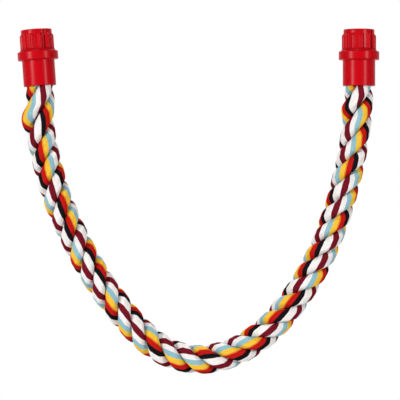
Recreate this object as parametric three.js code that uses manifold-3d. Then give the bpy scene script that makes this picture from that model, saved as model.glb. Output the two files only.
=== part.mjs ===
// A rope swing for cage birds: a thick laid rope hangs in a U between two plastic end fittings.
// Each fitting is a socket with a collar and a threaded stud. A ribbed cap screws down on the stud,
// and the bars of the cage roof are clamped between its washer and the collar.
// Millimetres, +Z up. The origin lies midway between the fittings, level with the seats of the bars.

import * as THREE from "three";
import { mergeVertices } from "three/addons/utils/BufferGeometryUtils.js";
import Module from "manifold-3d";

const wasm = await Module();
wasm.setup();

// Play between pieces that lie, slide or turn on each other
const play = 0.3;
const threadPlay = 0.35;

// Rope
const ropeDiameter = 24.2;
const neckSqueeze = 2.2; // the sleeve presses the rope this much thinner
const neckLength = 9; // from the flex point to the full thickness
const wireDiameter = 3;

// End sleeve
const flexDrop = 6; // the rope flexes this far below the mouth
const socketWall = 2.2;
const sleeveLength = 21.6; // mouth to the underside of the collar
const mouthRounding = 0.6;
const collarThickness = 7.1;
const collarRounding = 0.75;
const seatWidth = 0.8; // flat rim of the collar outside the washer's recess
const recessDepth = 0.6;
const socketFloor = 5.1; // between the socket and the washer's recess
const glueThickness = 3.6;
const glueOverWire = 0.9;

// Stud and its rounded coarse thread
const studDiameter = 10.4;
const studChamfer = 1;
const studTipGap = 1; // to the inside of the cap
const threadHeight = 0.8; // how far the round ridge stands out
const threadPitch = 3;
const threadLead = 2.2; // bottom of the cap to the first turn

// Clamp washer
const washerThickness = 2.1;
const washerFlare = 0.65; // from its top, flush with the cap's ribs, down to its edge

// Screw cap: a threaded boss and a ribbed skirt hang from its top, with a pocket between them
const capHeight = 16.2;
const capRounding = 1;
const capTop = 2;
const bossWall = 2;
const pocketWidth = 1.85;
const skirtWall = 2.65;
const ribCount = 12;
const ribHeight = 1.5;
const ribFoot = 4.2; // width where it meets the cap
const ribCrest = 1.2;
const ribTopDrop = 3.4; // top of the cap to where the ribs begin
const ribRamp = 2.2; // they reach their full height over this length
const keyGrooveDepth = 1.7; // two gaps between ribs are deeper, for a key

// How each fitting stands: the lean tips its top towards -X, the key angle is that of a key groove
const left = { side: "left", lean: THREE.MathUtils.degToRad(4), keyAngle: THREE.MathUtils.degToRad(-58) };
const right = { side: "right", lean: 0, keyAngle: THREE.MathUtils.degToRad(-39) };

// Facets
const roundSides = 24;
const ropeSides = 12;
const ropeSteps = 48;
const wireSides = 8;
const neckSteps = 4;
const ridgeSides = 6;
const ridgeStepsPerTurn = 12;
const filletSteps = 3;
const weld = 1e-4;

// The rope's line from flex point to flex point, as [x, z]
const ropeRoute = [
  [-131.1, -34.7],
  [-131.6, -44.0],
  [-131.7, -55.2],
  [-130.7, -67.6],
  [-128.5, -80.1],
  [-125.7, -92.5],
  [-122.4, -105.0],
  [-118.3, -118.3],
  [-113.3, -131.6],
  [-107.5, -144.8],
  [-100.8, -158.9],
  [-93.8, -172.2],
  [-85.9, -185.5],
  [-76.8, -198.8],
  [-66.8, -212.1],
  [-56.0, -225.3],
  [-43.6, -237.8],
  [-29.5, -247.8],
  [-14.5, -253.6],
  [0.4, -255.6],
  [15.4, -254.0],
  [30.3, -249.0],
  [44.4, -241.1],
  [57.7, -230.7],
  [69.3, -218.7],
  [79.3, -206.3],
  [88.4, -193.0],
  [96.3, -178.9],
  [103.3, -164.8],
  [109.1, -150.6],
  [114.5, -135.7],
  [119.1, -120.8],
  [122.8, -105.8],
  [126.2, -90.9],
  [128.9, -75.9],
  [131.0, -61.0],
  [132.4, -47.3],
  [133.2, -34.7],
].map(([x, z]) => new THREE.Vector3(x, 0, z));

// Sizes that follow. Heights in a fitting are counted from the flex point.
const ropeRadius = ropeDiameter / 2;
const neckRadius = ropeRadius - neckSqueeze / 2;
const wireRadius = wireDiameter / 2;
const wireBoreRadius = wireRadius + play;
const socketRadius = neckRadius + play;
const sleeveRadius = socketRadius + socketWall;
const studRadius = studDiameter / 2;
const threadRadius = studRadius + threadHeight;
const bossRadius = threadRadius + threadPlay + bossWall;
const skirtInside = bossRadius + pocketWidth;
const capRadius = skirtInside + skirtWall;
const shoulderRadius = capRadius - play / 2;
const ribRadius = capRadius + ribHeight;
const washerTopRadius = ribRadius;
const washerRadius = washerTopRadius + washerFlare;
const recessRadius = washerRadius + play;
const seatOuterRadius = Math.max(recessRadius, sleeveRadius) + seatWidth;

const mouthHeight = flexDrop;
const collarBottom = mouthHeight + sleeveLength;
const seatHeight = collarBottom + collarThickness;
const recessFloor = seatHeight - recessDepth;
const socketTop = recessFloor - socketFloor;
const glueTop = socketTop - play;
const glueBottom = glueTop - glueThickness;
const wireTop = glueTop - glueOverWire - play;
const washerBottom = recessFloor + play;
const washerTop = washerBottom + washerThickness;
const capBottom = washerTop + play;
const capEnd = capBottom + capHeight;
const capCeiling = capEnd - capTop;
const studEnd = capCeiling - studTipGap;
const threadBottom = capBottom + threadLead;
const threadTop = studEnd - studChamfer - threadHeight;

function makeSolid(geometry) {
  const bare = geometry.clone();
  bare.deleteAttribute("normal");
  bare.deleteAttribute("uv");
  const merged = mergeVertices(bare, weld);
  const corners = merged.index.array;
  const triangles = [];
  for (let i = 0; i < corners.length; i += 3) {
    const [a, b, c] = corners.slice(i, i + 3);
    if (a !== b && b !== c && c !== a) triangles.push(a, b, c);
  }
  const vertProperties = new Float32Array(merged.attributes.position.array);
  const triVerts = new Uint32Array(triangles);
  return new wasm.Manifold(new wasm.Mesh({ numProp: 3, vertProperties, triVerts }));
}

function makeMesh(name, solid, material) {
  const { vertProperties, triVerts } = solid.getMesh();
  const geometry = new THREE.BufferGeometry();
  geometry.setAttribute("position", new THREE.BufferAttribute(vertProperties, 3));
  geometry.setIndex(new THREE.BufferAttribute(triVerts, 1));
  const faceted = geometry.toNonIndexed();
  faceted.computeVertexNormals();
  const mesh = new THREE.Mesh(faceted, material);
  mesh.name = name;
  return mesh;
}

// A body of revolution about Z from [radius, height] pairs, listed from the bottom up on the outside
function turned(profile) {
  const points = profile.map(([radius, height]) => new THREE.Vector2(radius, height));
  return makeSolid(new THREE.LatheGeometry(points, roundSides).rotateX(Math.PI / 2));
}

// Points of a quarter round in a profile, about its centre, from one angle to the next
function rounding(centreRadius, centreHeight, radius, fromDegrees) {
  const points = [];
  for (let i = 0; i <= filletSteps; i++) {
    const angle = THREE.MathUtils.degToRad(fromDegrees + (90 * i) / filletSteps);
    points.push([centreRadius + radius * Math.cos(angle), centreHeight + radius * Math.sin(angle)]);
  }
  return points;
}

function ring(innerRadius, outerRadius, bottom, top) {
  return turned([
    [innerRadius, bottom],
    [outerRadius, bottom],
    [outerRadius, top],
    [innerRadius, top],
    [innerRadius, bottom],
  ]);
}

function disc(radius, bottom, top) {
  return turned([
    [0, bottom],
    [radius, bottom],
    [radius, top],
    [0, top],
  ]);
}

function polygon(radius, sides) {
  const corners = [];
  for (let i = 0; i < sides; i++) {
    const angle = (2 * Math.PI * i) / sides;
    corners.push(new THREE.Vector2(radius * Math.cos(angle), radius * Math.sin(angle)));
  }
  return new THREE.Shape(corners);
}

function tube(path, radius, sides, steps) {
  return makeSolid(new THREE.ExtrudeGeometry(polygon(radius, sides), { steps, extrudePath: path }));
}

// The thread's angle depends on the height alone, so the ridge and its groove always lie on each other
class ThreadLine extends THREE.Curve {
  constructor(bottom, top) {
    super();
    this.bottom = bottom;
    this.top = top;
  }

  getPoint(share, target = new THREE.Vector3()) {
    const height = this.bottom + share * (this.top - this.bottom);
    const angle = (2 * Math.PI * (height - threadBottom)) / threadPitch;
    return target.set(studRadius * Math.cos(angle), studRadius * Math.sin(angle), height);
  }
}

function threadRidge(bottom, top, radius) {
  const turns = (top - bottom) / threadPitch;
  return tube(new ThreadLine(bottom, top), radius, ridgeSides, Math.ceil(turns * ridgeStepsPerTurn));
}

function endSleeve() {
  const body = turned([
    [0, socketTop],
    [socketRadius, socketTop],
    [socketRadius, mouthHeight + mouthRounding],
    [socketRadius + mouthRounding, mouthHeight],
    [sleeveRadius - mouthRounding, mouthHeight],
    [sleeveRadius, mouthHeight + mouthRounding],
    [sleeveRadius, collarBottom],
    ...rounding(seatOuterRadius, collarBottom + collarRounding, collarRounding, -90),
    ...rounding(seatOuterRadius, seatHeight - collarRounding, collarRounding, 0),
    [recessRadius, seatHeight],
    [recessRadius, recessFloor],
    [studRadius, recessFloor],
    [studRadius, studEnd - studChamfer],
    [studRadius - studChamfer, studEnd],
    [0, studEnd],
  ]);
  return body.add(threadRidge(threadBottom, threadTop, threadHeight));
}

// The cap's cross-section: a circle with ribs, where two opposite gaps between ribs are deeper
function ribbedOutline() {
  const corners = [];
  const step = (2 * Math.PI) / ribCount;
  const footHalf = ribFoot / 2 / capRadius;
  const crestHalf = ribCrest / 2 / ribRadius;
  const corner = (radius, angle) => {
    corners.push(new THREE.Vector2(radius * Math.cos(angle), radius * Math.sin(angle)));
  };
  for (let i = 0; i < ribCount; i++) {
    const gapAngle = i * step;
    const isKeyGroove = i % (ribCount / 2) === 0;
    const gapRadius = isKeyGroove ? capRadius - keyGrooveDepth : capRadius;
    const gapHalf = step / 2 - footHalf;
    corner(gapRadius, gapAngle - gapHalf);
    corner(gapRadius, gapAngle);
    corner(gapRadius, gapAngle + gapHalf);
    const ribAngle = gapAngle + step / 2;
    corner(capRadius, ribAngle - footHalf);
    corner(ribRadius, ribAngle - crestHalf);
    corner(ribRadius, ribAngle + crestHalf);
    corner(capRadius, ribAngle + footHalf);
  }
  return new THREE.Shape(corners);
}

function screwCap() {
  const ribTop = capEnd - ribTopDrop;
  const ribbed = makeSolid(
    new THREE.ExtrudeGeometry(ribbedOutline(), { depth: capHeight, bevelEnabled: false }),
  ).translate([0, 0, capBottom]);
  const envelope = turned([
    [0, capBottom - play],
    [ribRadius + play, capBottom - play],
    [ribRadius + play, ribTop - ribRamp],
    [shoulderRadius, ribTop],
    ...rounding(shoulderRadius - capRounding, capEnd - capRounding, capRounding, 0),
    [0, capEnd],
  ]);
  const bore = disc(studRadius + threadPlay, capBottom - play, capCeiling);
  const pocket = ring(bossRadius, skirtInside, capBottom - play, capCeiling);
  // The groove runs out below, and on past the end of the ridge above
  const groove = threadRidge(capBottom - threadPitch, threadTop + threadPlay, threadHeight + threadPlay);
  return ribbed.intersect(envelope).subtract(bore).subtract(pocket).subtract(groove);
}

// A washer whose edge slopes out from the cap's ribs to the collar
function clampWasher() {
  const boreRadius = threadRadius + threadPlay;
  return turned([
    [boreRadius, washerBottom],
    [washerRadius, washerBottom],
    [washerRadius, seatHeight],
    [washerTopRadius, washerTop],
    [boreRadius, washerTop],
    [boreRadius, washerBottom],
  ]);
}

function gluePlug() {
  return turned([
    [wireBoreRadius, glueBottom],
    [neckRadius, glueBottom],
    [neckRadius, glueTop],
    [0, glueTop],
    [0, wireTop + play],
    [wireBoreRadius, wireTop + play],
    [wireBoreRadius, glueBottom],
  ]);
}

// The rope's end in the socket, hollowed below where the swinging part of the rope turns under it
function ropeTail() {
  const seat = makeSolid(new THREE.SphereGeometry(neckRadius + play, roundSides, roundSides / 2));
  return ring(wireBoreRadius, neckRadius, mouthHeight, glueBottom - play).subtract(seat);
}

function wireTail() {
  return disc(wireRadius, neckRadius + play, wireTop);
}

// The rope narrows to a round end at the flex point, which turns in place under the socket
function ropeNeck(flexPoint, direction) {
  const cone = [[0, -neckLength]];
  for (let i = 0; i <= neckSteps; i++) {
    const share = i / neckSteps;
    const swell = share * share * (3 - 2 * share);
    cone.push([ropeRadius + (neckRadius - ropeRadius) * swell, neckLength * (share - 1)]);
  }
  cone.push([0, 0]);
  const dome = makeSolid(new THREE.SphereGeometry(neckRadius, roundSides, roundSides / 2));
  const upright = new THREE.Vector3(0, 0, -1);
  const turn = new THREE.Quaternion().setFromUnitVectors(upright, direction);
  const place = new THREE.Matrix4().compose(flexPoint, turn, new THREE.Vector3(1, 1, 1));
  return turned(cone).add(dome).transform(place.toArray());
}

const ropeLine = new THREE.CatmullRomCurve3(ropeRoute);

// Part of the rope's line, shortened or lengthened at both ends
class Stretch extends THREE.Curve {
  constructor(trim) {
    super();
    this.trim = trim;
    this.length = ropeLine.getLength();
  }

  getPoint(share, target = new THREE.Vector3()) {
    const along = this.trim + share * (this.length - 2 * this.trim);
    const held = THREE.MathUtils.clamp(along, 0, this.length);
    const onLine = held / this.length;
    const overrun = ropeLine.getTangentAt(onLine).multiplyScalar(along - held);
    return target.copy(ropeLine.getPointAt(onLine)).add(overrun);
  }
}

function freeRope() {
  const start = ropeRoute[0];
  const end = ropeRoute[ropeRoute.length - 1];
  const fullLength = tube(new Stretch(neckLength - play), ropeRadius, ropeSides, ropeSteps);
  const bore = tube(new Stretch(-neckRadius - play), wireBoreRadius, wireSides, ropeSteps);
  return fullLength
    .add(ropeNeck(start, ropeLine.getTangentAt(0)))
    .add(ropeNeck(end, ropeLine.getTangentAt(1).negate()))
    .subtract(bore);
}

function coreWire() {
  return tube(new Stretch(-neckRadius + play), wireRadius, wireSides, ropeSteps);
}

const redPlastic = () => new THREE.MeshStandardMaterial({ color: 0xcd0519, roughness: 0.25, metalness: 0 });
const shadedRed = () => new THREE.MeshStandardMaterial({ color: 0x9a0a12, roughness: 0.4, metalness: 0 });
const cotton = () => new THREE.MeshStandardMaterial({ color: 0xd8c8b8, roughness: 0.9, metalness: 0 });
const glue = () => new THREE.MeshStandardMaterial({ color: 0xe8dcb8, roughness: 0.6, metalness: 0 });
const steel = () => new THREE.MeshStandardMaterial({ color: 0x9a9c9e, roughness: 0.35, metalness: 1 });

function endFitting({ side, lean, keyAngle }, flexPoint) {
  const fitting = new THREE.Group();
  fitting.position.copy(flexPoint);
  fitting.rotation.set(0, -lean, keyAngle);
  fitting.add(makeMesh(`${side}_end_sleeve`, endSleeve(), redPlastic()));
  fitting.add(makeMesh(`${side}_clamp_washer`, clampWasher(), shadedRed()));
  fitting.add(makeMesh(`${side}_screw_cap`, screwCap(), redPlastic()));
  fitting.add(makeMesh(`${side}_glue_plug`, gluePlug(), glue()));
  fitting.add(makeMesh(`${side}_rope_tail`, ropeTail(), cotton()));
  fitting.add(makeMesh(`${side}_wire_tail`, wireTail(), steel()));
  return fitting;
}

const swing = new THREE.Group();
swing.name = "rope_bird_swing";
swing.add(endFitting(left, ropeRoute[0]));
swing.add(endFitting(right, ropeRoute[ropeRoute.length - 1]));
swing.add(makeMesh("rope", freeRope(), cotton()));
swing.add(makeMesh("core_wire", coreWire(), steel()));

export default swing;
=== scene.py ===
from math import atan2, cos, hypot, pi, radians, sin, tau

import bmesh
import bpy
import numpy as np
from mathutils import Matrix, Vector


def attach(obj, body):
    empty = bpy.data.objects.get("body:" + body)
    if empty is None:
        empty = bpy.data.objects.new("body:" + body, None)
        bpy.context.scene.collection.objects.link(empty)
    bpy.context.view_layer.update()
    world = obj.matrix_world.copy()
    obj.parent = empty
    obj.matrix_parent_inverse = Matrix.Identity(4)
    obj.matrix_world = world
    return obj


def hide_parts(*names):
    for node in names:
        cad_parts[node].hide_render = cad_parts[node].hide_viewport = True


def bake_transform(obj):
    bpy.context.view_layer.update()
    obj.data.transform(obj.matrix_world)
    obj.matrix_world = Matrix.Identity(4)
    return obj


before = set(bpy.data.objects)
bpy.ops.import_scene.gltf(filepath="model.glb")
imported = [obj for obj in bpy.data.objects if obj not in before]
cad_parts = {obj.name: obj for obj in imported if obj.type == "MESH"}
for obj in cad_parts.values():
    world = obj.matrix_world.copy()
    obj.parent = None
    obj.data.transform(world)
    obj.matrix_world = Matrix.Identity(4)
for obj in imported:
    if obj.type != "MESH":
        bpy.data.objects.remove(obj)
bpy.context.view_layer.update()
mm = 0.001
weld = 1e-6  # points closer than this are one
front = Vector((0, -1, 0))  # towards the camera
print("frame loaded:", len(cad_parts), "nodes")


# Camera: level and far off, as with a long lens
view = {
    "distance": 2.0,
    "width": 0.332,  # of the picture, at the object
    "middle": (0.00125, -0.1233),  # x and z
    "sensor": 36,
}


def addCamera():
    data = bpy.data.cameras.new("camera")
    data.sensor_width = view["sensor"]
    data.lens = view["sensor"] * view["distance"] / view["width"]
    camera = bpy.data.objects.new("camera", data)
    x, z = view["middle"]
    camera.location = (x, -view["distance"], z)
    camera.rotation_euler = (pi / 2, 0, 0)
    bpy.context.collection.objects.link(camera)
    bpy.context.scene.camera = camera


addCamera()
print("camera placed")


# Shader maths: a wire is one output of a node, and its operators add Math nodes
class Wire:
    def __init__(self, finish, node, output=0):
        self.finish = finish
        self.node = node
        self.output = node.outputs[output]

    def out(self, output):
        return Wire(self.finish, self.node, output)

    def math(self, operation, *others):
        inputs = dict(enumerate((self, *others)))
        return self.finish.add("ShaderNodeMath", {"operation": operation}, inputs)

    def __add__(self, other):
        return self.math("ADD", other)

    def __sub__(self, other):
        return self.math("SUBTRACT", other)

    def __mul__(self, other):
        return self.math("MULTIPLY", other)

    def __abs__(self):
        return self.math("ABSOLUTE")

    __radd__ = __add__
    __rmul__ = __mul__


class Finish:
    def __init__(self, name, **surface):
        self.material = bpy.data.materials.new(name)
        self.material.use_nodes = True
        self.tree = self.material.node_tree
        self.shader = self.tree.nodes["Principled BSDF"]
        for socket, value in surface.items():
            self.shader.inputs[socket.replace("_", " ")].default_value = value

    def add(self, kind, settings=None, inputs=None):
        node = self.tree.nodes.new(kind)
        for key, value in (settings or {}).items():
            if key == "stops":
                setStops(node.color_ramp, value)
            else:
                setattr(node, key, value)
        for key, value in (inputs or {}).items():
            self.plug(node.inputs[key], value)
        return Wire(self, node)

    def plug(self, socket, value):
        if isinstance(value, Wire):
            self.tree.links.new(value.output, socket)
        else:
            socket.default_value = value

    def surface(self, **wires):
        for socket, wire in wires.items():
            self.plug(self.shader.inputs[socket.replace("_", " ")], wire)

    def noise(self, vector, scale, detail=2.0, roughness=0.5):
        inputs = {"Vector": vector, "Scale": scale, "Detail": detail, "Roughness": roughness}
        return self.add("ShaderNodeTexNoise", None, inputs)

    def mix(self, factor, first, second):  # sockets 6 and 7 in, and 2 out, are the colours
        return self.add("ShaderNodeMix", {"data_type": "RGBA"}, {0: factor, 6: first, 7: second}).out(2)

    def fade(self, value, low, high):  # smooth step from 0 at low to 1 at high
        inputs = {0: value, 1: low, 2: high}
        return self.add("ShaderNodeMapRange", {"interpolation_type": "SMOOTHSTEP"}, inputs)

    def bump(self, height, distance, strength=1.0):
        inputs = {"Height": height, "Distance": distance, "Strength": strength}
        return self.add("ShaderNodeBump", None, inputs)

    def place(self):
        return self.add("ShaderNodeTexCoord").out("Object")


def setStops(ramp, stops):
    ramp.interpolation = "CONSTANT"
    while len(ramp.elements) < len(stops):
        ramp.elements.new(1.0)
    for element, (position, colour) in zip(ramp.elements, stops):
        element.position = position
        element.color = colour


def shade(red, green, blue):  # 0 to 255 as on a screen, to a shader's colour
    channels = [value / 255 for value in (red, green, blue)]
    return tuple(c / 12.92 if c <= 0.04045 else ((c + 0.055) / 1.055) ** 2.4 for c in channels) + (1.0,)


def addPiece(name, mesh, material):
    piece = bpy.data.objects.new(name, mesh)
    bpy.context.collection.objects.link(piece)
    mesh.materials.append(material)
    return piece


def wrapped(places, uvName):  # a flat grid wrapped round rings of points
    rings, around = places.shape[:2]
    bm = bmesh.new()
    bm.loops.layers.uv.new(uvName)
    bmesh.ops.create_grid(bm, x_segments=rings - 1, y_segments=around, size=0.5, calc_uvs=True)
    for vert in bm.verts:
        ring = round((vert.co.x + 0.5) * (rings - 1))
        point = round((vert.co.y + 0.5) * around) % around
        vert.co = places[ring, point]
    bmesh.ops.remove_doubles(bm, verts=bm.verts, dist=weld)
    return bm


def meshFrom(bm, name):
    bmesh.ops.recalc_face_normals(bm, faces=bm.faces)
    for face in bm.faces:
        face.smooth = True
    mesh = bpy.data.meshes.new(name)
    bm.to_mesh(mesh)
    bm.free()
    return mesh


# Rope: three strands laid right-handed round a wire, each of yarns twisted the other way
rope = {
    "diameter": 0.0242,
    "strands": 3,
    "lay": 0.0515,  # length of one full turn of a strand round the rope
    "firstFront": 0.0299,  # from the left flex point to where the first strand lies in front
    "strandReach": 0.0070,  # rope's axis to a strand's middle
    "strandDepth": 0.0052,  # half of a strand's section, across the rope
    "strandWidth": 0.0069,  # half of it, round the rope
    "strandFullness": 2.4,  # 2 is an ellipse, more is boxier
    "yarns": ("lightBlue",) * 4 + ("yellow",) * 4 + ("orange",) + ("red",) * 4
    + ("black",) * 4 + ("white",) * 6 + ("maroon",) * 5 + ("white",) * 4,
    "yarnTurns": -2.2,  # of the yarns in their strand, in each lay
    "yarnStarts": (0.444, 0.264, 0.458),  # share of a turn, for each strand
    "yarnCrowding": 0.12,  # how much closer yarns lie on a strand's outer side
    "yarnRelief": 0.0003,
    "pointsPerYarn": 4,
    "stepsPerLay": 50,
    "outlineSteps": 2000,  # of a strand's section, before its yarns are spaced out
    "pointsPerSpan": 40,  # of the rope's line
    "unevenness": ((0.018, 0.0231, 1.7), (0.012, 0.0087, 2.9)),  # share of size, length per radian, phase
    "neckScale": 0.92,  # in the sleeves' grip
    "neckLength": 0.009,  # from a sleeve's mouth to the full thickness
    "grips": (  # strands run straighter near a sleeve: side, reach, pull back, turn of the yarns
        (1, 0.0344, 0.0099, 0.112),
        (-1, 0.0465, 0.0091, 0.20),
    ),
    "gripEase": 1.3,  # power by which a grip grows towards its sleeve
    "bulges": (  # loose strands: strand, side, from the flex point, reach, rise, swell, turn of the yarns
        (0, 1, 0.0220, 0.016, 0.0, 0.0, -0.05),
        (1, 1, 0.0215, 0.014, 0.0025, 0.12, 0.10),
        (0, -1, 0.0125, 0.012, 0.0016, 0.08, -0.06),
        (1, -1, 0.0155, 0.014, 0.0, 0.0, 0.10),
        (2, -1, 0.0155, 0.012, 0.0012, 0.08, 0.06),
    ),
    "tail": 0.0247,  # from a flex point up into its socket
    "mouth": 0.006,  # from a flex point up to the sleeve's mouth
    "cordPoints": 240,
}
yarnColours = {
    "lightBlue": shade(150, 196, 208),
    "yellow": shade(252, 203, 62),
    "orange": shade(240, 135, 40),
    "red": shade(200, 22, 15),
    "black": shade(14, 10, 14),
    "white": shade(250, 245, 243),
    "maroon": shade(120, 14, 34),
}
leftFlex = Vector((-0.1311, 0, -0.0347))
rightFlex = Vector((0.1332, 0, -0.0347))
leftLean = radians(4)
leftUp = Vector((-sin(leftLean), 0, cos(leftLean)))
rightUp = Vector((0, 0, 1))
ropeRoute = [  # x and z, from the left flex point to the right one
    (-0.1311, -0.0347), (-0.1316, -0.0440), (-0.1317, -0.0552), (-0.1307, -0.0676), (-0.1285, -0.0801),
    (-0.1257, -0.0925), (-0.1224, -0.1050), (-0.1183, -0.1183), (-0.1133, -0.1316), (-0.1075, -0.1448),
    (-0.1008, -0.1589), (-0.0938, -0.1722), (-0.0859, -0.1855), (-0.0768, -0.1988), (-0.0668, -0.2121),
    (-0.0560, -0.2253), (-0.0436, -0.2378), (-0.0295, -0.2478), (-0.0145, -0.2536), (0.0004, -0.2556),
    (0.0154, -0.2540), (0.0303, -0.2490), (0.0444, -0.2411), (0.0577, -0.2307), (0.0693, -0.2187),
    (0.0793, -0.2063), (0.0884, -0.1930), (0.0963, -0.1789), (0.1033, -0.1648), (0.1091, -0.1506),
    (0.1145, -0.1357), (0.1191, -0.1208), (0.1228, -0.1058), (0.1262, -0.0909), (0.1289, -0.0759),
    (0.1310, -0.0610), (0.1324, -0.0473), (0.1332, -0.0347),
]


class RopeLine:  # smooth line through the route, by length from the left flex point
    def __init__(self):
        knots = [leftFlex + leftUp * rope["tail"] * 2, leftFlex + leftUp * rope["tail"]]
        knots += [Vector((x, 0, z)) for x, z in ropeRoute]
        knots += [rightFlex + rightUp * rope["tail"], rightFlex + rightUp * rope["tail"] * 2]
        knots = np.array(knots)
        share = np.linspace(0, 1, rope["pointsPerSpan"], endpoint=False)[:, None]
        spans = []
        for a, b, c, d in zip(knots, knots[1:], knots[2:], knots[3:]):
            slopeIn, slopeOut = self.slope(a, b, c), self.slope(b, c, d)
            reach = np.linalg.norm(c - b)
            spans.append(self.span(b, c, slopeIn * reach, slopeOut * reach, share))
        self.points = np.concatenate(spans + [knots[-2:-1]])
        steps = np.linalg.norm(np.diff(self.points, axis=0), axis=1)
        self.lengths = np.concatenate([[0], np.cumsum(steps)]) - steps[:len(share)].sum()
        self.end = self.lengths[-1] - steps[-len(share):].sum()

    def slope(self, a, b, c):  # of a parabola through three knots, at the middle one
        before, after = np.linalg.norm(b - a), np.linalg.norm(c - b)
        return ((b - a) / before * after + (c - b) / after * before) / (before + after)

    def span(self, b, c, rise, fall, t):
        return (
            (2 * t**3 - 3 * t**2 + 1) * b + (t**3 - 2 * t**2 + t) * rise
            + (3 * t**2 - 2 * t**3) * c + (t**3 - t**2) * fall
        )

    def at(self, lengths):
        axes = [np.interp(lengths, self.lengths, self.points[:, axis]) for axis in range(3)]
        return np.stack(axes, axis=1)

    def fromSide(self, lengths, side):  # counted from the left flex point, or back from the right one
        return lengths if side > 0 else self.end - lengths

    def directions(self, lengths):
        ahead = self.at(lengths + mm) - self.at(lengths - mm)
        return ahead / np.linalg.norm(ahead, axis=1)[:, None]


def strandSection(points):  # outline of a strand, by share of the way round its yarns
    turn = np.linspace(0, tau, rope["outlineSteps"] + 1)
    power = 2 / rope["strandFullness"]
    across = rope["strandDepth"] * np.sign(np.cos(turn)) * np.abs(np.cos(turn)) ** power
    along = rope["strandWidth"] * np.sign(np.sin(turn)) * np.abs(np.sin(turn)) ** power
    steps = np.hypot(np.diff(across), np.diff(along))
    steps *= 1 + rope["yarnCrowding"] * across[1:] / rope["strandDepth"]
    share = np.concatenate([[0], np.cumsum(steps)]) / steps.sum()
    points = points % 1
    return np.interp(points, share, across), np.interp(points, share, along)


def strandPoints(line, number):
    around = len(rope["yarns"]) * rope["pointsPerYarn"]
    lays = (line.end + 2 * rope["tail"]) / rope["lay"]
    lengths = np.linspace(-rope["tail"], line.end + rope["tail"], round(lays * rope["stepsPerLay"]) + 1)
    axis, ahead = line.at(lengths), line.directions(lengths)
    outward = np.stack([ahead[:, 2], 0 * lengths, -ahead[:, 0]], axis=1)
    laid, eased = lengths, 0 * lengths
    for side, reach, pull, turn in rope["grips"]:
        beyond = reach - line.fromSide(lengths, side)
        held = (np.clip(beyond, 0, reach + rope["mouth"]) / reach) ** rope["gripEase"]
        laid, eased = laid + side * pull * held, eased + side * turn * held
    ropeTurn = tau * (laid - rope["firstFront"]) / rope["lay"]
    strandTurn = ropeTurn + tau * number / rope["strands"]
    toStrand = np.cos(strandTurn)[:, None] * np.array(front) + np.sin(strandTurn)[:, None] * outward
    sideways = -np.sin(strandTurn)[:, None] * np.array(front) + np.cos(strandTurn)[:, None] * outward
    fromMouth = np.minimum(lengths, line.end - lengths) + rope["mouth"]
    free = np.clip(fromMouth / rope["neckLength"], 0, 1)
    scale = rope["neckScale"] + (1 - rope["neckScale"]) * free * free * (3 - 2 * free)
    for dip, wave, phase in rope["unevenness"]:
        scale = scale - free * dip * (0.5 + 0.5 * np.sin(lengths / wave + phase * (number + 1)))

    middle, fuller = rope["strandReach"] + 0 * lengths, 1 + 0 * lengths
    for strand, side, place, reach, rise, swell, turn in rope["bulges"]:
        if strand == number:
            off = (line.fromSide(lengths, side) - place) / reach
            loose = np.clip(1 - off**2, 0, 1) ** 2
            middle, fuller = middle + rise * loose, fuller + swell * loose
            eased = eased + turn * loose

    share = np.arange(around) / around
    twist = rope["yarnStarts"][number] + rope["yarnTurns"] * ropeTurn / tau + eased
    yarnTurn = share[None, :] + twist[:, None]
    across, along = strandSection(yarnTurn)
    offYarn = np.abs(2 * ((share * len(rope["yarns"])) % 1) - 1)  # 1 in the grooves between yarns
    groove = rope["yarnRelief"] * (1 - np.sqrt(1 - offYarn**2))[None, :]
    size = np.hypot(across, along)
    across, along = across * (1 - groove / size), along * (1 - groove / size)
    out = (middle[:, None] + across * fuller[:, None]) * scale[:, None]
    beside = along * (fuller * scale)[:, None]
    return (
        axis[:, None, :] + out[..., None] * toStrand[:, None, :] + beside[..., None] * sideways[:, None, :]
    )


def strandMesh(name, line, number):
    bm = wrapped(strandPoints(line, number), "yarnMap")
    bmesh.ops.holes_fill(bm, edges=[edge for edge in bm.edges if edge.is_boundary], sides=0)
    return meshFrom(bm, name)


cotton = {
    "roughness": 0.95,
    "specular": 0.06,
    "strayScale": 420.0,
    "strayShare": 0.012,  # of a strand's way round, by which a dye's edge wanders
    "grooveFrom": 0.55,  # 0 in the middle of a yarn, 1 in the groove beside it
    "fibreScale": 900.0,
    # dark colour mixed in: painted shade in the grooves between yarns, and random darker yarns and fibres
    "shadeAndGrime": (0.03, 0.025, 0.03, 1),
    "grooveShade": 0.22,
    "tintWear": 0.05,
    "fibreWear": 0.10,
    "pliesPerLay": 62.0,
    "plySlant": 0.8,
    "plyHeight": 0.6,
    "fibreHeight": 0.5,
    "grooveHeight": 0.6,
    "relief": 0.0003,
    "reliefStrength": 0.7,
}


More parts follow.
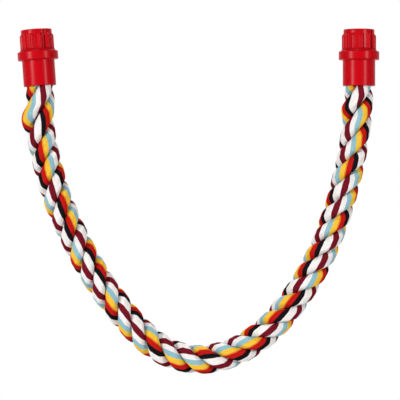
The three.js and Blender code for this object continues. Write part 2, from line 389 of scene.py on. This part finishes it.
def cottonFinish(lays):
    count = len(rope["yarns"])
    finish = Finish("dyed_cotton", Roughness=cotton["roughness"], Specular_IOR_Level=cotton["specular"])
    uv = finish.add("ShaderNodeUVMap", {"uv_map": "yarnMap"})
    axes = finish.add("ShaderNodeSeparateXYZ", None, {0: uv})
    along, around = axes.out("X") * lays, axes.out("Y")
    place = finish.place()
    stray = finish.noise(place, cotton["strayScale"]) - 0.5
    stops = []
    for number, yarn in enumerate(rope["yarns"]):
        if number == 0 or yarn != rope["yarns"][number - 1]:
            stops.append((number / count, yarnColours[yarn]))
    dye = finish.add("ShaderNodeValToRGB", {"stops": stops}, {0: around + stray * cotton["strayShare"]})
    yarn = around * count
    offYarn = abs(yarn.math("FRACT") * 2 - 1)
    inGroove = finish.fade(offYarn, cotton["grooveFrom"], 1.0)
    tint = finish.add("ShaderNodeTexWhiteNoise", {"noise_dimensions": "1D"}, {"W": yarn.math("FLOOR")})
    fibres = finish.noise(place, cotton["fibreScale"], detail=3.0, roughness=0.6)
    # painted shade in the grooves between yarns, plus random darkening of whole yarns and of fibres
    shadeAndWear = cotton["grooveShade"] * inGroove + cotton["tintWear"] * tint + cotton["fibreWear"] * fibres
    twist = (yarn * cotton["plySlant"] + along * cotton["pliesPerLay"]).math("FRACT")
    ply = abs(twist * 2 - 1)
    height = ply * cotton["plyHeight"] + fibres * cotton["fibreHeight"] - inGroove * cotton["grooveHeight"]
    finish.surface(
        Base_Color=finish.mix(shadeAndWear, dye, cotton["shadeAndGrime"]),
        Normal=finish.bump(height, cotton["relief"], cotton["reliefStrength"]),
    )
    return finish.material


def addRope():
    line = RopeLine()
    wholeLength = line.end + 2 * rope["tail"]
    material = cottonFinish(wholeLength / rope["lay"])
    for number in range(rope["strands"]):
        name = f"rope_strand_{number + 1}"
        strand = addPiece(name, strandMesh(name, line, number), material)
        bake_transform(strand)
        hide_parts("rope", "left_rope_tail", "right_rope_tail")
    path = line.at(np.linspace(-rope["tail"], line.end + rope["tail"], rope["cordPoints"]))
    leftFlex + leftUp * rope["mouth"]
    print("rope laid:", round(line.end, 4), "m between its flex points")


addRope()


# End fittings. Heights are counted from the flex point, up the fitting's own axis.
sleeve = {
    "mouth": rope["mouth"],
    "socketRadius": 0.0113,
    "socketTop": 0.0290,
    "radius": 0.0135,
    "mouthRounding": 0.0006,
    "footFillet": 0.0006,  # where the sleeve meets the collar
    "collarBottom": 0.0276,
    "collarTop": 0.0347,
    "collarRadius": 0.01685,
    "collarRounding": 0.00075,
    "recessRadius": 0.0153,
    "recessFloor": 0.0341,
    "studRadius": 0.0052,
    "studEnd": 0.0500,
    "studRounding": 0.0007,
    "threadBottom": 0.0390,
    "threadTop": 0.0482,
    "threadPitch": 0.0030,
    "threadHeight": 0.0008,
    "threadHalf": 0.0010,  # half of the ridge's width
    "threadCrest": 0.0001,  # half of its rounded top
    "threadFade": 0.0003,  # half of the length in which its ends rise and sink
    "threadRings": 48,
    "steps": 96,
}
washer = {
    "bore": 0.00635,
    "radius": 0.0150,
    "topRadius": 0.01435,  # flush with the cap's ribs
    "bottom": 0.0344,
    "edgeTop": 0.0347,  # where its edge starts to slope in
    "top": 0.0365,
    "rounding": 0.0002,
    "roundingRings": 3,
    "steps": 96,
}
cap = {
    "bottom": 0.0366,  # down on the washer
    "top": 0.0530,
    "ceiling": 0.0510,
    "radius": 0.01285,
    "ribs": 12,
    "ribHeight": 0.0015,
    "ribFoot": 0.0042,  # width where a rib meets the cap
    "ribCrest": 0.0008,
    "ribTop": 0.0496,
    "ribRamp": 0.0022,
    "ribLead": 0.0003,  # from the ribs' tops up to the plain wall
    "grooveDepth": 0.0017,  # of the two gaps between ribs that take a key
    "grooveFloor": 0.75,  # share of such a gap that lies at full depth
    "topRounding": 0.0010,
    "topFlat": 1.3,  # in roundings, from the wall in to where the top is flat
    "footRounding": 0.0004,
    "boreRadius": 0.00555,
    "bossRadius": 0.00835,
    "skirtInside": 0.0102,
    "pointsPerRib": 24,
    "roundingRings": 6,
    "rampRings": 9,
    "wallRings": 8,
}
fittings = {  # keyAngle turns a fitting about its axis, and with it the key grooves of its cap
    "left": {"flex": leftFlex, "lean": leftLean, "keyAngle": radians(-58)},
    "right": {"flex": rightFlex, "lean": 0.0, "keyAngle": radians(-39)},
}


def standing(side):  # where a fitting's own frame lies
    how = fittings[side]
    turned = Matrix.Rotation(-how["lean"], 4, "Y") @ Matrix.Rotation(how["keyAngle"], 4, "Z")
    return Matrix.Translation(how["flex"]) @ turned


def lathe(profile, steps):  # a closed profile of radius and height, spun about the axis
    bm = bmesh.new()
    verts = [bm.verts.new((radius, 0, height)) for radius, height in profile]
    for start, end in zip(verts, verts[1:] + verts[:1]):
        bm.edges.new((start, end))
    geometry = bm.verts[:] + bm.edges[:]
    bmesh.ops.spin(bm, geom=geometry, axis=(0, 0, 1), angle=tau, steps=steps, use_merge=True)
    bmesh.ops.remove_doubles(bm, verts=bm.verts, dist=weld)
    bmesh.ops.recalc_face_normals(bm, faces=bm.faces)
    return bm


def roundRim(bm, radius, height, offset, segments=4):
    def onRim(vert):
        return abs(hypot(vert.co.x, vert.co.y) - radius) < weld and abs(vert.co.z - height) < weld

    rim = [edge for edge in bm.edges if onRim(edge.verts[0]) and onRim(edge.verts[1])]
    bmesh.ops.bevel(
        bm, geom=rim, offset=offset, offset_type="OFFSET", affect="EDGES",
        segments=segments, profile=0.5, material=-1, clamp_overlap=True,
    )


def ease(value, low, high):
    share = np.clip((value - low) / (high - low), 0, 1)
    return share * share * (3 - 2 * share)


def raiseThread(bm):  # a round ridge that climbs the stud
    low, high, pitch = sleeve["threadBottom"], sleeve["threadTop"], sleeve["threadPitch"]
    fade, crest, half = sleeve["threadFade"], sleeve["threadCrest"], sleeve["threadHalf"]
    for vert in bm.verts:
        radius = hypot(vert.co.x, vert.co.y)
        if abs(radius - sleeve["studRadius"]) > weld:
            continue
        climb = pitch * (atan2(vert.co.y, vert.co.x) / tau) + low
        offRidge = (vert.co.z - climb + pitch / 2) % pitch - pitch / 2
        onStud = vert.co.z - offRidge
        within = ease(onStud, low - fade, low + fade) * (1 - ease(onStud, high - fade, high + fade))
        ridge = sleeve["threadHeight"] * within * (1 - ease(abs(offRidge), crest, half))
        vert.co.x *= (radius + ridge) / radius
        vert.co.y *= (radius + ridge) / radius


def sleeveMesh(side):
    low = sleeve["threadBottom"] - sleeve["threadHalf"]
    high = sleeve["threadTop"] + sleeve["threadHalf"]
    threaded = np.linspace(low, high, sleeve["threadRings"])
    bm = lathe(
        [
            (0, sleeve["socketTop"]),
            (sleeve["socketRadius"], sleeve["socketTop"]),
            (sleeve["socketRadius"], sleeve["mouth"]),
            (sleeve["radius"], sleeve["mouth"]),
            (sleeve["radius"], sleeve["collarBottom"]),
            (sleeve["collarRadius"], sleeve["collarBottom"]),
            (sleeve["collarRadius"], sleeve["collarTop"]),
            (sleeve["recessRadius"], sleeve["collarTop"]),
            (sleeve["recessRadius"], sleeve["recessFloor"]),
            (sleeve["studRadius"], sleeve["recessFloor"]),
            *((sleeve["studRadius"], height) for height in threaded),
            (sleeve["studRadius"], sleeve["studEnd"]),
            (0, sleeve["studEnd"]),
        ],
        sleeve["steps"],
    )
    roundRim(bm, sleeve["socketRadius"], sleeve["mouth"], sleeve["mouthRounding"])
    roundRim(bm, sleeve["radius"], sleeve["mouth"], sleeve["mouthRounding"])
    roundRim(bm, sleeve["radius"], sleeve["collarBottom"], sleeve["footFillet"])
    roundRim(bm, sleeve["collarRadius"], sleeve["collarBottom"], sleeve["collarRounding"])
    roundRim(bm, sleeve["collarRadius"], sleeve["collarTop"], sleeve["collarRounding"])
    roundRim(bm, sleeve["studRadius"], sleeve["studEnd"], sleeve["studRounding"])
    raiseThread(bm)
    bmesh.ops.transform(bm, matrix=standing(side), verts=bm.verts)
    return meshFrom(bm, f"{side}_sleeve")


def washerMesh(side):
    inner, outer, upper = washer["bore"], washer["radius"], washer["topRadius"]
    low, edge, high = washer["bottom"], washer["edgeTop"], washer["top"]
    bm = lathe([(inner, low), (outer, low), (outer, edge), (upper, high), (inner, high)], washer["steps"])
    for radius, height in ((inner, high), (outer, edge), (upper, high)):
        roundRim(bm, radius, height, washer["rounding"], washer["roundingRings"])
    bmesh.ops.transform(bm, matrix=standing(side), verts=bm.verts)
    return meshFrom(bm, f"{side}_washer")


def capOutline(angles, ribRise):  # radius of the ribbed wall, ribs at ribRise of their height
    pitch = tau / cap["ribs"]
    fromRib = np.abs(angles % pitch - pitch / 2) * cap["radius"]
    rib = 1 - ease(fromRib, cap["ribCrest"] / 2, cap["ribFoot"] / 2)
    gapHalf = pitch / 2 * cap["radius"] - cap["ribFoot"] / 2
    fromKey = np.abs((angles + pi / 2) % pi - pi / 2) * cap["radius"]
    key = 1 - ease(fromKey, gapHalf * cap["grooveFloor"], gapHalf)
    return cap["radius"] + cap["ribHeight"] * ribRise * rib - cap["grooveDepth"] * key


def capRings():  # from the middle of the top, down the ribs, and up into the hollow
    around = cap["ribs"] * cap["pointsPerRib"]
    angles = np.arange(around) * tau / around
    quarter = np.linspace(0, pi / 2, cap["roundingRings"])
    plain, full = capOutline(angles, 0.0), capOutline(angles, 1.0)
    top, foot = cap["topRounding"], cap["footRounding"]
    rings = [(flat, cap["top"]) for flat in (0 * plain, plain / 2, plain - cap["topFlat"] * top)]
    rings += [(plain - top * (1 - sin(a)), cap["top"] - top * (1 - cos(a))) for a in quarter]
    rings += [(plain, cap["ribTop"] + cap["ribLead"])]
    for share in np.linspace(0, 1, cap["rampRings"]):
        rings.append((capOutline(angles, ease(share, 0, 1)), cap["ribTop"] - share * cap["ribRamp"]))
    wall = np.linspace(cap["ribTop"] - cap["ribRamp"], cap["bottom"] + foot, cap["wallRings"])
    rings += [(full, height) for height in wall[1:]]
    rings += [(full - foot * (1 - cos(a)), cap["bottom"] + foot * (1 - sin(a))) for a in quarter[1:]]
    for radius, height in (
        (cap["skirtInside"], cap["bottom"]),
        (cap["skirtInside"], cap["ceiling"]),
        (cap["bossRadius"], cap["ceiling"]),
        (cap["bossRadius"], cap["bottom"]),
        (cap["boreRadius"], cap["bottom"]),
        (cap["boreRadius"], cap["ceiling"]),
        (0, cap["ceiling"]),
    ):
        rings.append((0 * plain + radius, height))
    return np.array([
        np.stack([radius * np.cos(angles), radius * np.sin(angles), 0 * angles + height], axis=1)
        for radius, height in rings
    ])


def capMesh(side):
    bm = wrapped(capRings(), "wall")
    bmesh.ops.transform(bm, matrix=standing(side), verts=bm.verts)
    return meshFrom(bm, f"{side}_cap")


plastic = {
    "red": shade(188, 3, 18),
    "redGloss": 0.22,
    # the same red plastic, darker: painted shade of the band between cap and collar
    "washerShadedRed": shade(172, 4, 17),
    "washerGloss": 0.30,
    "specular": 0.06,  # low, so that the white surroundings don't veil the red
    "flowScale": 55.0,  # soft marks of the moulding
    "flowShade": 0.8,
    "flowTint": 0.5,
    "flowDull": 0.06,
    "flowHeight": 0.8,
    "speckScale": 700.0,
    "speckDull": 0.04,
    "speckHeight": 0.2,
    "relief": 0.00012,
    "reliefStrength": 0.35,
}


def plasticFinish(name, colour, gloss):
    finish = Finish(name, Specular_IOR_Level=plastic["specular"])
    place = finish.place()
    flow = finish.noise(place, plastic["flowScale"], detail=3.0)
    speck = finish.noise(place, plastic["speckScale"])
    deep = tuple(c * plastic["flowShade"] for c in colour[:3]) + (1.0,)
    height = flow * plastic["flowHeight"] + speck * plastic["speckHeight"]
    finish.surface(
        Base_Color=finish.mix(flow * plastic["flowTint"], colour, deep),
        Roughness=gloss + plastic["flowDull"] * flow + plastic["speckDull"] * speck,
        Normal=finish.bump(height, plastic["relief"], plastic["reliefStrength"]),
    )
    return finish.material


def addFittings():
    red = plasticFinish("red_plastic", plastic["red"], plastic["redGloss"])
    # the washer's darker red is painted shade, not a different plastic
    shadedRed = plasticFinish("washer_plastic", plastic["washerShadedRed"], plastic["washerGloss"])
    for side in fittings:
        made = (
            ("sleeve", sleeveMesh(side), red, "red_plastic", "end_fittings", "end_sleeve"),
            ("washer_ring", washerMesh(side), shadedRed, "washer_plastic", f"{side}_washer", "clamp_washer"),
            ("ribbed_cap", capMesh(side), red, "red_plastic", f"{side}_cap", "screw_cap"),
        )
        for name, mesh, material, slot, body, node in made:
            piece = addPiece(f"{side}_{name}", mesh, material)
            piece.modifiers.new("flat_faces", "WEIGHTED_NORMAL").keep_sharp = False
            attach(piece, body)
            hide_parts(f"{side}_{node}")
    print("fittings turned")


glue = {
    "clear": shade(236, 214, 158),
    "cloudy": shade(205, 172, 104),
    "specular": 0.4,
    "ior": 1.48,
    "cloudScale": 160.0,
    "gloss": 0.28,
    "cloudDull": 0.25,
    "lumpScale": 380.0,
    "relief": 0.0004,
    "reliefStrength": 0.6,
}
wire = {
    "bright": shade(184, 186, 188),
    "dull": shade(142, 144, 146),
    "dullScale": 120.0,
    "gloss": 0.24,
    "dullness": 0.30,
    "markScale": 1400.0,
    "relief": 0.00005,
    "reliefStrength": 0.5,
}


def glueFinish():
    finish = Finish("set_glue", Specular_IOR_Level=glue["specular"], IOR=glue["ior"])
    place = finish.place()
    cloud = finish.noise(place, glue["cloudScale"], detail=3.0)
    lumps = finish.noise(place, glue["lumpScale"])
    finish.surface(
        Base_Color=finish.mix(cloud, glue["clear"], glue["cloudy"]),
        Roughness=glue["gloss"] + glue["cloudDull"] * cloud,
        Normal=finish.bump(lumps, glue["relief"], glue["reliefStrength"]),
    )
    return finish.material


def wireFinish():
    finish = Finish("drawn_wire", Metallic=1.0)
    place = finish.place()
    marks = finish.noise(place, wire["markScale"])
    dull = finish.noise(place, wire["dullScale"], detail=3.0)
    finish.surface(
        Base_Color=finish.mix(dull, wire["bright"], wire["dull"]),
        Roughness=wire["gloss"] + wire["dullness"] * dull,
        Normal=finish.bump(marks, wire["relief"], wire["reliefStrength"]),
    )
    return finish.material


def dressHidden():  # glue and wire inside the sockets and the rope
    hidden = {
        glueFinish(): ("left_glue_plug", "right_glue_plug"),
        wireFinish(): ("left_wire_tail", "core_wire", "right_wire_tail"),
    }
    for material, nodes in hidden.items():
        for node in nodes:
            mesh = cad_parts[node].data
            mesh.materials.clear()
            mesh.materials.append(material)
    print("hidden pieces dressed")


addFittings()
dressHidden()


# Stage: white all round, soft lamps at both sides, above and behind, and a pale floor below the picture
stage = {
    "floorHeight": -0.42,
    "floorRadius": 0.7,
    "floorSides": 96,
    "floorColours": ((0.86, 0.86, 0.85, 1), (0.81, 0.81, 0.81, 1)),
    "floorRoughness": 0.8,
    "grainScale": 60.0,
    "grainTint": 0.3,
    "worldLight": 0.06,
    "lampTarget": Vector((0, 0, -0.08)),
    "lamps": (  # azimuth and elevation from the front, distance, width, height, watts
        ("key_softbox", -18, 32, 1.4, 0.7, 0.7, 7),
        ("left_softbox", -47, 6, 1.95, 0.5, 0.2, 23),
        ("right_softbox", 46, 9, 1.28, 0.12, 0.25, 7.6),
        ("back_softbox", 180, 50, 1.5, 0.9, 0.7, 18),
    ),
}


def addWorld():
    world = bpy.data.worlds.new("studio")
    bpy.context.scene.world = world
    world.use_nodes = True
    tree = world.node_tree
    tree.nodes.clear()
    path = tree.nodes.new("ShaderNodeLightPath")
    seen = tree.nodes.new("ShaderNodeMath")
    seen.operation = "MAXIMUM"
    tree.links.new(path.outputs["Is Camera Ray"], seen.inputs[0])
    mirrored = tree.nodes.new("ShaderNodeMath")
    mirrored.operation = "MAXIMUM"
    tree.links.new(path.outputs["Is Glossy Ray"], mirrored.inputs[0])
    tree.links.new(path.outputs["Is Transmission Ray"], mirrored.inputs[1])
    tree.links.new(mirrored.outputs[0], seen.inputs[1])
    lit = tree.nodes.new("ShaderNodeBackground")
    lit.inputs["Strength"].default_value = stage["worldLight"]
    white = tree.nodes.new("ShaderNodeBackground")
    for background in (lit, white):
        background.inputs["Color"].default_value = (1, 1, 1, 1)
    mix = tree.nodes.new("ShaderNodeMixShader")
    tree.links.new(seen.outputs[0], mix.inputs[0])
    tree.links.new(lit.outputs[0], mix.inputs[1])
    tree.links.new(white.outputs[0], mix.inputs[2])
    output = tree.nodes.new("ShaderNodeOutputWorld")
    tree.links.new(mix.outputs[0], output.inputs[0])


def addLamp(name, azimuth, elevation, distance, width, height, watts):
    data = bpy.data.lights.new(name, "AREA")
    data.shape = "RECTANGLE"
    data.size, data.size_y, data.energy = width, height, watts
    lamp = bpy.data.objects.new(name, data)
    turn, rise = radians(azimuth), radians(elevation)
    way = Vector((sin(turn) * cos(rise), -cos(turn) * cos(rise), sin(rise)))
    lamp.location = stage["lampTarget"] + way * distance
    lamp.rotation_euler = way.to_track_quat("Z", "Y").to_euler()
    bpy.context.collection.objects.link(lamp)


def addFloor():
    bm = bmesh.new()
    bmesh.ops.create_circle(bm, cap_ends=True, radius=stage["floorRadius"], segments=stage["floorSides"])
    bmesh.ops.translate(bm, verts=bm.verts, vec=(0, 0, stage["floorHeight"]))
    finish = Finish("pale_floor", Roughness=stage["floorRoughness"])
    grain = finish.noise(finish.place(), stage["grainScale"])
    finish.surface(Base_Color=finish.mix(grain * stage["grainTint"], *stage["floorColours"]))
    floor = bpy.data.objects.new("floor", meshFrom(bm, "floor"))
    floor.data.materials.append(finish.material)
    bpy.context.collection.objects.link(floor)


addWorld()
for lamp in stage["lamps"]:
    addLamp(*lamp)
addFloor()
bpy.context.scene.view_settings.view_transform = "Standard"
print("stage lit")
